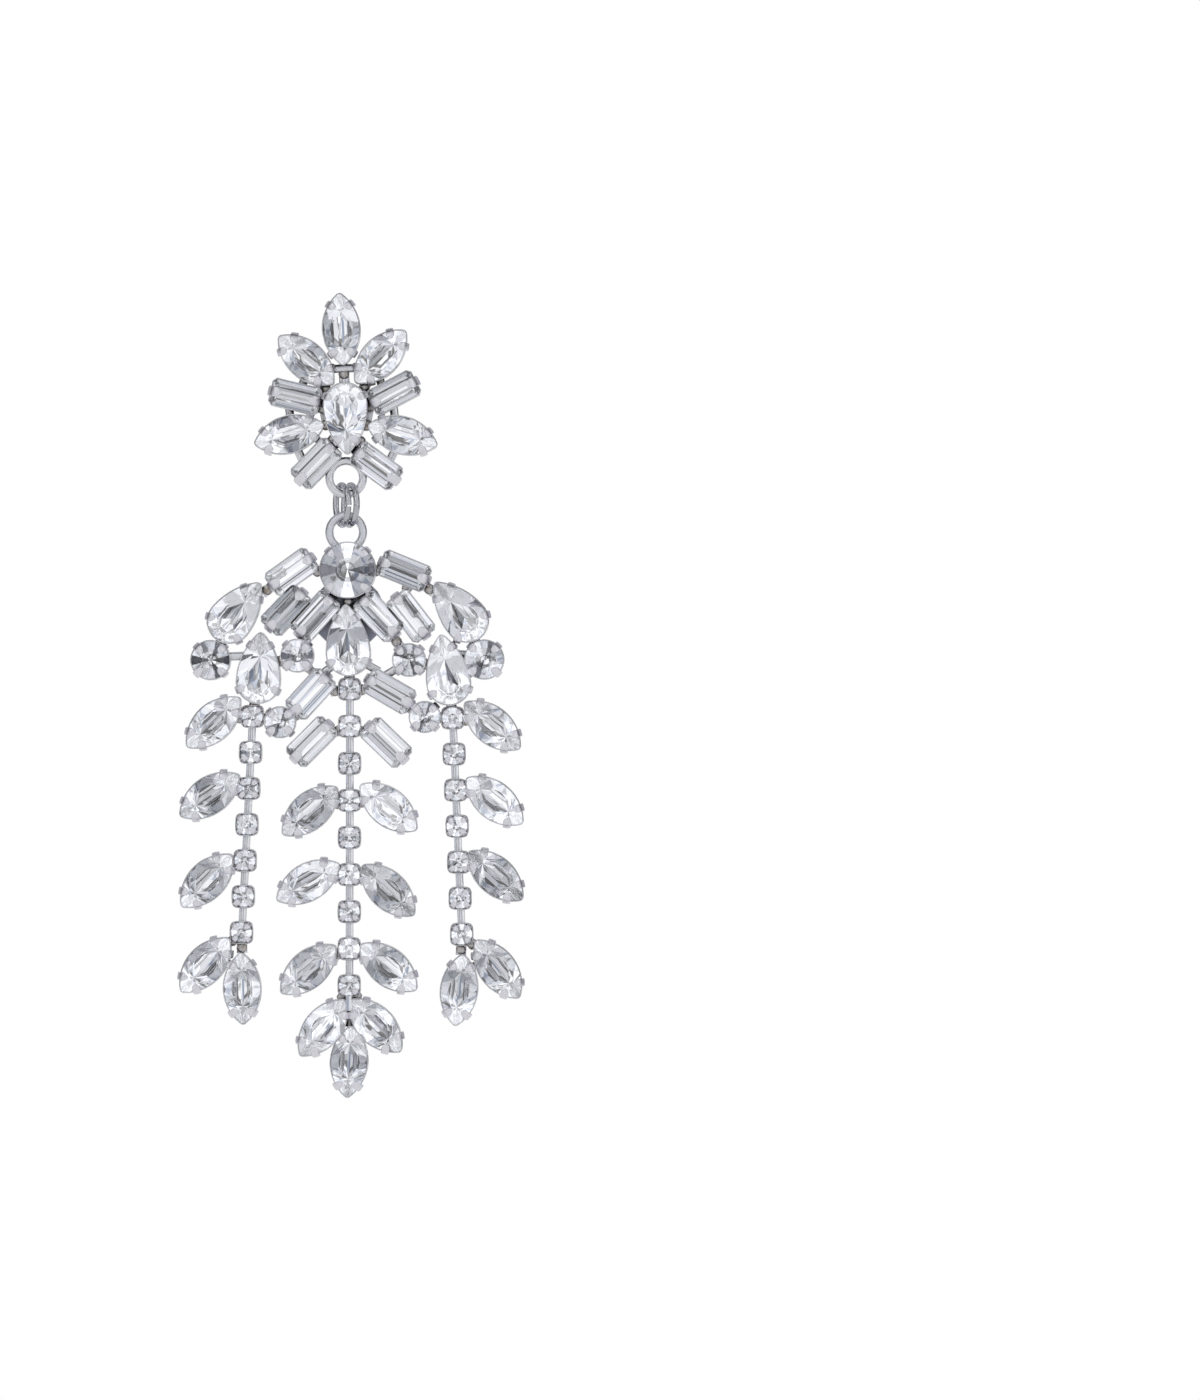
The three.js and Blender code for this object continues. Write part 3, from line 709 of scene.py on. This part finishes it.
def nearest_edge(stone, place):
    """The place on a cup's outline that lies nearest to a place of the face."""
    matrix = to_world(stone)
    outline = [matrix @ p for p in ring(stone["cut"], stone, OUTLINE_STEPS, 0, STONE_GAP, 0)]
    near = min(outline, key=lambda p: math.hypot(p.x - place.x, p.z - place.y))
    return Vector((near.x, near.z))


def add_bridge(mesh, one, other, place):
    """A short stiffening strut behind two neighbouring settings, where the face shows it between them."""
    start = nearest_edge(one, place)
    end = nearest_edge(other, place)
    along = (end - start).normalized() * BRIDGE_BITE
    add_bar(mesh, start - along, end + along, BRIDGE_WIDTH, BRIDGE_THICKNESS)


# A ring of wire: the width of its seam, its steps round, and the plane across each axis.
SEAM = 0.0001 * MM
RING_STEPS = 64
WIRE_SIDES = 20
RING_PLANES = {
    "X": (Vector((0, 1, 0)), Vector((0, 0, 1))),
    "Y": (Vector((1, 0, 0)), Vector((0, 0, 1))),
}


def add_wire_ring(mesh, centre, radius, half_wire, around, opening=0.0, start=0.0, material=0):
    """A ring of round wire about an axis of the frame, with a saw cut if opening is over 0."""
    right, up = RING_PLANES[around]
    axis = right.cross(up)
    rings = []
    for step in range(RING_STEPS if opening == 0 else RING_STEPS + 1):
        angle = start + opening / 2 + (2 * math.pi - opening) * step / RING_STEPS
        out = right * math.cos(angle) + up * math.sin(angle)
        points = []
        for k in range(WIRE_SIDES):
            around_wire = 2 * math.pi * k / WIRE_SIDES
            place = centre + out * (radius + half_wire * math.cos(around_wire))
            points.append(place + axis * half_wire * math.sin(around_wire))
        rings.append(points)
    if opening:
        join_rings(mesh, rings, material=material)
    else:
        join_rings(mesh, rings + [rings[0]], first_cap=False, last_cap=False, material=material)
        bmesh.ops.remove_doubles(mesh, verts=mesh.verts, dist=SEAM)


# The setting that each one is soldered to.
SOLDERED = {
    "stud_top_navette": "stud_pear",
    "stud_upper_left_navette": "stud_pear",
    "stud_upper_right_navette": "stud_pear",
    "stud_upper_left_baguette": "stud_pear",
    "stud_upper_right_baguette": "stud_pear",
    "stud_lower_left_navette": "stud_pear",
    "stud_lower_right_navette": "stud_pear",
    "stud_lower_left_baguette": "stud_pear",
    "stud_lower_right_baguette": "stud_pear",
    "centre_pear": "large_round",
    "centre_head_round": "centre_pear",
    "wing_left_baguette": "large_round",
    "wing_right_baguette": "large_round",
    "inner_left_baguette": "large_round",
    "inner_right_baguette": "large_round",
    "second_left_baguette": "wing_left_baguette",
    "second_right_baguette": "wing_right_baguette",
    "outer_left_pear": "wing_left_baguette",
    "outer_right_pear": "wing_right_baguette",
    "inner_left_round": "inner_left_baguette",
    "inner_right_round": "inner_right_baguette",
    "outer_left_round": "outer_left_pear",
    "outer_right_round": "outer_right_pear",
    "lower_left_pear": "inner_left_round",
    "lower_right_pear": "inner_right_round",
    "lower_left_baguette": "centre_head_round",
    "lower_right_baguette": "centre_head_round",
    "left_head_round": "lower_left_pear",
    "right_head_round": "lower_right_pear",
    "left_bridge_round": "left_head_round",
    "right_bridge_round": "right_head_round",
    "left_shoulder_navette": "left_head_round",
    "right_shoulder_navette": "right_head_round",
}
# The bridges that show between two settings, and where each lies on the face, in millimetres.
BRIDGES = {
    "stud": [
        ("stud_upper_left_navette", "stud_upper_right_navette", -0.33, 4.84),
        ("stud_upper_left_navette", "stud_upper_left_baguette", -4.87, 3.08),
        ("stud_upper_right_navette", "stud_upper_right_baguette", 3.88, 3.22),
        ("stud_lower_left_navette", "stud_upper_left_baguette", -6.24, -0.33),
        ("stud_lower_right_navette", "stud_upper_right_baguette", 5.39, 0.22),
        ("stud_lower_left_navette", "stud_lower_left_baguette", -5.14, -5.0),
        ("stud_lower_right_navette", "stud_lower_right_baguette", 5.12, -5.17),
    ],
    "drop": [
        ("inner_left_round", "lower_left_baguette", -3.96, -28.8),
        ("inner_right_round", "lower_right_baguette", 4.45, -29.1),
        ("lower_left_pear", "outer_left_round", -11.8, -26.8),
        ("lower_right_pear", "outer_right_round", 12.8, -26.8),
        ("lower_left_baguette", "left_bridge_round", -5.3, -33.7),
        ("lower_right_baguette", "right_bridge_round", 7.1, -33.0),
        ("centre_pear", "lower_left_baguette", -2.4, -28.7),
        ("centre_pear", "lower_right_baguette", 3.3, -28.7),
    ],
}
LOOP_RADIUS = 1.85 * MM
LOOP_HALF_WIRE = 0.45 * MM
LOOP_OVER_HINGE = 1.1 * MM
JOINT_AT = {joint["name"]: Vector(joint["pos_m"]) for joint in frame["joints"]}


def setting_frame(body, loop_centre, loop_metal):
    """All the settings of one body, with their bars, solder and wire loop, as one soldered piece."""
    mesh = bmesh.new()
    draw = random.Random(SOLDER_SEED)
    for node, stone in LOOSE_STONES.items():
        if stone["body"] != body:
            continue
        add_setting(mesh, stone, small="head_round" in node)
        if node in SOLDERED:
            add_joint_bar(mesh, stone, LOOSE_STONES[SOLDERED[node]], draw)
    for one, other, x, z in BRIDGES[body]:
        add_bridge(mesh, LOOSE_STONES[one], LOOSE_STONES[other], Vector((x, z)) * MM)
    add_wire_ring(mesh, loop_centre, LOOP_RADIUS, LOOP_HALF_WIRE, "Y", material=LOOP_INDEX)
    return new_object(f"{body}_settings", mesh, [PLATE, SOLDER, CLAW, loop_metal])


stud_loop = JOINT_AT["ring_swing"] + Vector((0, 0, LOOP_RADIUS))
stud_settings = setting_frame("stud", stud_loop, PLATE)
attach(stud_settings, "stud")
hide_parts("stud_frame")

drop_loop = JOINT_AT["drop_sway"] + Vector((0, 0, LOOP_OVER_HINGE - LOOP_RADIUS))
drop_settings = setting_frame("drop", drop_loop, SATIN)
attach(drop_settings, "drop")
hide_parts("drop_frame")

# Jump rings. Two rings of round plated wire, sawn from a coil and closed with pliers, so each keeps a
# fine cut with its ends a little out of line. They lie side by side, turned a little, through both loops.
WIRE_SILVER = "#CFCFD4"
WIRE_SCRATCH = 0.25 * MM
RING_HALF_WIRE = 0.35 * MM
# In radians: where each ring is cut, how wide the cut is, and how the ring hangs.
RING_CUTS = {"jump_ring_left": math.radians(184), "jump_ring_right": math.radians(243)}
RING_OPENING = 0.07
RING_TURN = math.radians(20)
RING_LEAN = {"jump_ring_left": math.radians(-2), "jump_ring_right": math.radians(1.5)}
RING_STAGGER = 0.06 * MM


def drawn_wire():
    """Drawn wire, nickel plated: smooth round metal, a shade darker than the settings, with fine scratches.

    The scratches are drawn coarser than real ones, so that they show.
    """
    material = new_material("drawn_wire")
    place = add_node(material, "ShaderNodeTexCoord")
    marks = add_node(material, "ShaderNodeTexNoise", inputs={"Scale": 1 / WIRE_SCRATCH, "Detail": 2.0},
                     links={"Vector": place.outputs["Object"]})
    rough = add_node(material, "ShaderNodeMapRange", inputs={"To Min": 0.06, "To Max": 0.20},
                     links={"Value": marks.outputs["Fac"]})
    shader = add_node(material, "ShaderNodeBsdfPrincipled", inputs={
        "Base Color": linear(WIRE_SILVER), "Metallic": 1.0}, links={"Roughness": rough.outputs["Result"]})
    bump = add_node(material, "ShaderNodeBump", inputs={"Strength": 0.08, "Distance": 0.01 * MM},
                    links={"Height": marks.outputs["Fac"]})
    return close_material(material, shader, bump)


WIRE = drawn_wire()
for node, cut_bearing in RING_CUTS.items():
    low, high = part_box(node)
    centre = (Vector(low) + Vector(high)) / 2
    radius = (high[2] - low[2]) / 2 - RING_HALF_WIRE
    mesh = bmesh.new()
    add_wire_ring(mesh, Vector((0, 0, 0)), radius, RING_HALF_WIRE, "X",
                  opening=RING_OPENING, start=cut_bearing)
    for vertex in mesh.verts:
        turned = (math.atan2(vertex.co.z, vertex.co.y) - cut_bearing) % (2 * math.pi)
        vertex.co.x += RING_STAGGER * (turned / (2 * math.pi) - 0.5)
    lean = Matrix.Rotation(RING_LEAN[node], 4, "Y")
    hung = Matrix.Translation(centre) @ lean @ Matrix.Rotation(RING_TURN, 4, "Z")
    bmesh.ops.transform(mesh, matrix=hung, verts=mesh.verts)
    wire_ring = new_object(f"{node}_wire", mesh, [WIRE])
    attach(wire_ring, "rings")
    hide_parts(node)

# Chains of small set stones. Each is a cup chain: pressed square cups on flat bars, with navettes and
# baguettes in claw cups soldered on at the sides, and every stone is glued and clawed in its cup.
# The bars between its links, and the upright one under the centre chain's last link.
CHAIN_BAR_WIDTH = 0.85 * MM
CHAIN_BAR_BITE = 0.15 * MM
HEAD_BAR_BITE = 0.05 * MM
END_BAR_FROM = 1.1 * MM
END_BAR_TO = 2.7 * MM
END_BAR_WIDTH = 0.95 * MM
END_BAR_THICKNESS = 2.3 * MM
# How far a cup with its claws stands out round its stone, and how flat a table of the solid lies.
CUP_AND_CLAW = STONE_GAP + WALL + CLAW_STAND + 1.5 * CLAW_HALF_THICKNESS
ON_ONE_PLANE = 0.002 * MM
GLASS_INDEX = 3
STRAND_HEADS = {
    "left_strand": "left_head_round",
    "centre_strand": "centre_head_round",
    "right_strand": "right_head_round",
}


def set_tables(node, like):
    """The stones of a fused chain that are cut like a loose one, found by the faces of their tables."""
    front = levels(like)[0][0].y
    data = frame["nodes"][node].data
    group = {}

    def root(key):
        """The corner that stands for all the corners of one table."""
        while group[key] != key:
            key = group[key]
        return key

    places = {}
    for face in data.polygons:
        corners = [data.vertices[i].co for i in face.vertices]
        if any(abs(c.y - front) > ON_ONE_PLANE for c in corners):
            continue
        keys = [(round(c.x, 6), round(c.z, 6)) for c in corners]
        for key, corner in zip(keys, corners):
            group.setdefault(key, key)
            places[key] = corner.copy()
        for key in keys[1:]:
            group[root(key)] = root(keys[0])
    tables = {}
    for key in group:
        tables.setdefault(root(key), []).append(places[key])
    found = []
    for corners in tables.values():
        stone = placed_stone(cut_of(like), corners)
        loose = LOOSE_STONES[like]
        stone.update(length=loose["length"], width=loose["width"], y=levels(like)[1][0].y)
        found.append(stone)
    return found


def kept_inside(stone, node):
    """Moves a leaf in by the hair's breadth that its cup would pass the chain's own reach."""
    low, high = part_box(node)
    outline = [to_world(stone) @ p for p in ring(stone["cut"], stone, OUTLINE_STEPS, 0, CUP_AND_CLAW, 0)]
    past_left = max(0, low[0] - min(p.x for p in outline))
    past_right = max(0, max(p.x for p in outline) - high[0])
    stone["x"] += past_left - past_right
    return stone


for node, head in STRAND_HEADS.items():
    mesh = bmesh.new()
    draw = random.Random(len(node))
    links = sorted(set_tables(node, "left_head_round"), key=lambda s: -s["z"])
    leaves = set_tables(node, "stud_upper_left_navette")
    if node == "centre_strand":
        leaves += set_tables(node, "stud_upper_left_baguette")
    leaves = [kept_inside(leaf, node) for leaf in leaves]
    for stone in links + leaves:
        add_setting(mesh, stone, small=stone in links)
    above = Vector((LOOSE_STONES[head]["x"], LOOSE_STONES[head]["z"]))
    bite = HEAD_BAR_BITE
    for link in links:
        place = Vector((link["x"], link["z"]))
        along = (place - above).normalized()
        reach = cup_reach(link, 0)
        add_bar(mesh, above + along * (reach - bite), place - along * (reach - CHAIN_BAR_BITE),
                CHAIN_BAR_WIDTH, BAR_THICKNESS)
        above = place
        bite = CHAIN_BAR_BITE
    if node == "centre_strand":
        add_bar(mesh, above - Vector((0, END_BAR_FROM)), above - Vector((0, END_BAR_TO)),
                END_BAR_WIDTH, END_BAR_THICKNESS)
    for leaf in leaves:
        tips = [to_world(leaf) @ Vector((end * leaf["length"] / 2, 0, 0)) for end in (-1, 1)]
        link = min(links, key=lambda s: min(math.hypot(s["x"] - tip.x, s["z"] - tip.z) for tip in tips))
        add_joint_bar(mesh, leaf, link, draw)
    for stone in links + leaves:
        gem = stone_mesh(stone["cut"], stone)
        bmesh.ops.transform(gem, matrix=bedded(stone), verts=gem.verts)
        part = bpy.data.meshes.new("gem")
        for face in gem.faces:
            face.material_index += GLASS_INDEX
        gem.to_mesh(part)
        gem.free()
        mesh.from_mesh(part)
        bpy.data.meshes.remove(part)
    strand = new_object(f"{node}_chain", mesh, [PLATE, SOLDER, CLAW, GLASS] + FOIL)
    for face in strand.data.polygons:
        face.use_smooth = face.material_index < GLASS_INDEX
    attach(strand, "drop")
    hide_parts(node)

# Ear post and back disc. The post and its pad are one turned piece of silver-plated brass, soldered behind
# the stud. The disc is stamped from sheet, dark plated, and soldered behind the drop's middle, where it
# shows between the stones. Both are plain, so the part's own solids are shown, with their finish on.
SLATE_GREY = "#C8CDDC"
SLATE_GRAIN = 0.3 * MM


def slate_plate():
    """Dull slate-grey gun-metal plate, unpolished: a flat, even sheen that shows no reflection.

    Its grain is drawn coarser than the real one, so that it shows.
    """
    material = new_material("slate_plate")
    place = add_node(material, "ShaderNodeTexCoord")
    grain = add_node(material, "ShaderNodeTexNoise", inputs={"Scale": 1 / SLATE_GRAIN, "Detail": 4.0},
                     links={"Vector": place.outputs["Object"]})
    rough = add_node(material, "ShaderNodeMapRange", inputs={"To Min": 0.5, "To Max": 0.65},
                     links={"Value": grain.outputs["Fac"]})
    shader = add_node(material, "ShaderNodeBsdfPrincipled", inputs={
        "Base Color": linear(SLATE_GREY), "Metallic": 0.2}, links={"Roughness": rough.outputs["Result"]})
    bump = add_node(material, "ShaderNodeBump", inputs={"Strength": 0.15, "Distance": 0.01 * MM},
                    links={"Height": grain.outputs["Fac"]})
    return close_material(material, shader, bump)


for node, finish in (("ear_post", PLATE), ("back_disc", slate_plate())):
    frame["nodes"][node].data.materials.clear()
    frame["nodes"][node].data.materials.append(finish)

# Floor. A wide round sheet of matt white paper, a good way below the drop. Its fibres are drawn coarser
# than real ones, and a little glow stands for the light that the paper throws on from all round.
FLOOR_DROP = 0.25
FLOOR_RADIUS = 1.4
PAPER_WHITE = "#F7F7F7"
PAPER_GLOW = "#FFFFFF"
PAPER_FIBRE = 2.5 * MM
paper = new_material("white_paper")
place = add_node(paper, "ShaderNodeTexCoord")
fibre = add_node(paper, "ShaderNodeTexNoise", inputs={"Scale": 1 / PAPER_FIBRE, "Detail": 3.0},
                 links={"Vector": place.outputs["Object"]})
bump = add_node(paper, "ShaderNodeBump", inputs={"Strength": 0.05, "Distance": 0.2 * MM},
                links={"Height": fibre.outputs["Fac"]})
matt = add_node(paper, "ShaderNodeBsdfPrincipled", inputs={
    "Base Color": linear(PAPER_WHITE), "Roughness": 0.9, "Emission Color": linear(PAPER_GLOW),
    "Emission Strength": 0.3})
close_material(paper, matt, bump)
mesh = bmesh.new()
bmesh.ops.create_circle(mesh, cap_ends=True, segments=96, radius=FLOOR_RADIUS,
                        matrix=Matrix.Translation((0, 0, -FLOOR_DROP)))
new_object("studio_floor", mesh, [paper])

# Light tent. White cloth lit from outside stands all round the earring: white in front, pale grey behind,
# with a dark band round the sides. Its folds sway the tones, and gaps between its sheets give the stones
# something dark, warm or bluish to throw back. The camera itself sees plain white.
TENT_WHITE = "#FFFFFF"
TENT_LIGHT = 1.07
TENT_TONES = [
    (0.00, "#D6D6D8"), (0.22, "#BEBEC1"), (0.36, "#6C6C70"), (0.46, "#26262A"), (0.53, "#56575D"),
    (0.60, "#D2D3D6"), (0.72, "#FFFFFF"), (0.93, "#FFFFFF"), (0.97, "#E0E1E4"), (1.00, "#D3D4D8"),
]
GAP_TONES = [
    (0.00, "#3C3835"), (0.37, "#6B6661"), (0.40, "#E6E5E3"), (0.43, "#FFFFFF"), (0.58, "#FFFFFF"),
    (0.61, "#BCC4D0"), (0.68, "#8C98AE"),
]
FOLD_SWAY = 0.16
FOLD_SCALE = 2.6
GAP_SCALE = 4.2
world = bpy.data.worlds.new("light_tent")
bpy.context.scene.world = world
world.use_nodes = True
world.node_tree.nodes.clear()
direction = add_node(world, "ShaderNodeTexCoord")
front = add_node(world, "ShaderNodeVectorMath", {"operation": "DOT_PRODUCT"},
                 {1: (0.0, -1.0, 0.0)}, {0: direction.outputs["Generated"]})
folds = add_node(world, "ShaderNodeTexNoise", inputs={"Scale": FOLD_SCALE, "Detail": 1.5},
                 links={"Vector": direction.outputs["Generated"]})
sway = add_node(world, "ShaderNodeMapRange", inputs={"To Min": -FOLD_SWAY, "To Max": FOLD_SWAY},
                links={"Value": folds.outputs["Fac"]})
swayed = add_node(world, "ShaderNodeMath", {"operation": "ADD"},
                  links={0: front.outputs["Value"], 1: sway.outputs["Result"]})
share = add_node(world, "ShaderNodeMapRange", inputs={"From Min": -1.0, "From Max": 1.0},
                 links={"Value": swayed.outputs[0]})
tone = add_node(world, "ShaderNodeValToRGB", links={"Fac": share.outputs["Result"]}, tones=TENT_TONES)
gaps = add_node(world, "ShaderNodeTexNoise", inputs={"Scale": GAP_SCALE, "Detail": 0.0, "Distortion": 0.6},
                links={"Vector": direction.outputs["Generated"]})
gap_tone = add_node(world, "ShaderNodeValToRGB", links={"Fac": gaps.outputs["Fac"]}, tones=GAP_TONES)
both = add_node(world, "ShaderNodeVectorMath", {"operation": "MULTIPLY"},
                links={0: tone.outputs["Color"], 1: gap_tone.outputs["Color"]})
seen = add_node(world, "ShaderNodeBackground", inputs={"Color": linear(TENT_WHITE), "Strength": 1.0})
lit = add_node(world, "ShaderNodeBackground", inputs={"Strength": TENT_LIGHT},
               links={"Color": both.outputs["Vector"]})
path = add_node(world, "ShaderNodeLightPath")
mix = add_node(world, "ShaderNodeMixShader",
               links={0: path.outputs["Is Camera Ray"], 1: lit.outputs[0], 2: seen.outputs[0]})
add_node(world, "ShaderNodeOutputWorld", links={"Surface": mix.outputs[0]})

# Camera. A long lens square to the earring's face, which stands left of the middle of the frame. The
# origin of the part, the middle of the ear pad, lies at its own pixel, at 0.11 mm a pixel.
MM_PER_PIXEL = 0.11
FRAME_MIDDLE = (600, 700)
ORIGIN_PIXEL = (346, 410)
EYE_DISTANCE = 0.8556
FACE_DEPTH = 2.5 * MM
camera_data = bpy.data.cameras.new("camera")
camera_data.lens = 200
camera_data.sensor_width = 36
camera_data.clip_start = 0.01
camera_data.clip_end = 20
camera = bpy.data.objects.new("camera", camera_data)
camera.location = (
    (FRAME_MIDDLE[0] - ORIGIN_PIXEL[0]) * MM_PER_PIXEL * MM,
    -EYE_DISTANCE - FACE_DEPTH,
    (ORIGIN_PIXEL[1] - FRAME_MIDDLE[1]) * MM_PER_PIXEL * MM,
)
camera.rotation_euler = (math.pi / 2, 0, 0)
bpy.context.scene.collection.objects.link(camera)
bpy.context.scene.camera = camera
bpy.context.scene.view_settings.view_transform = "Standard"
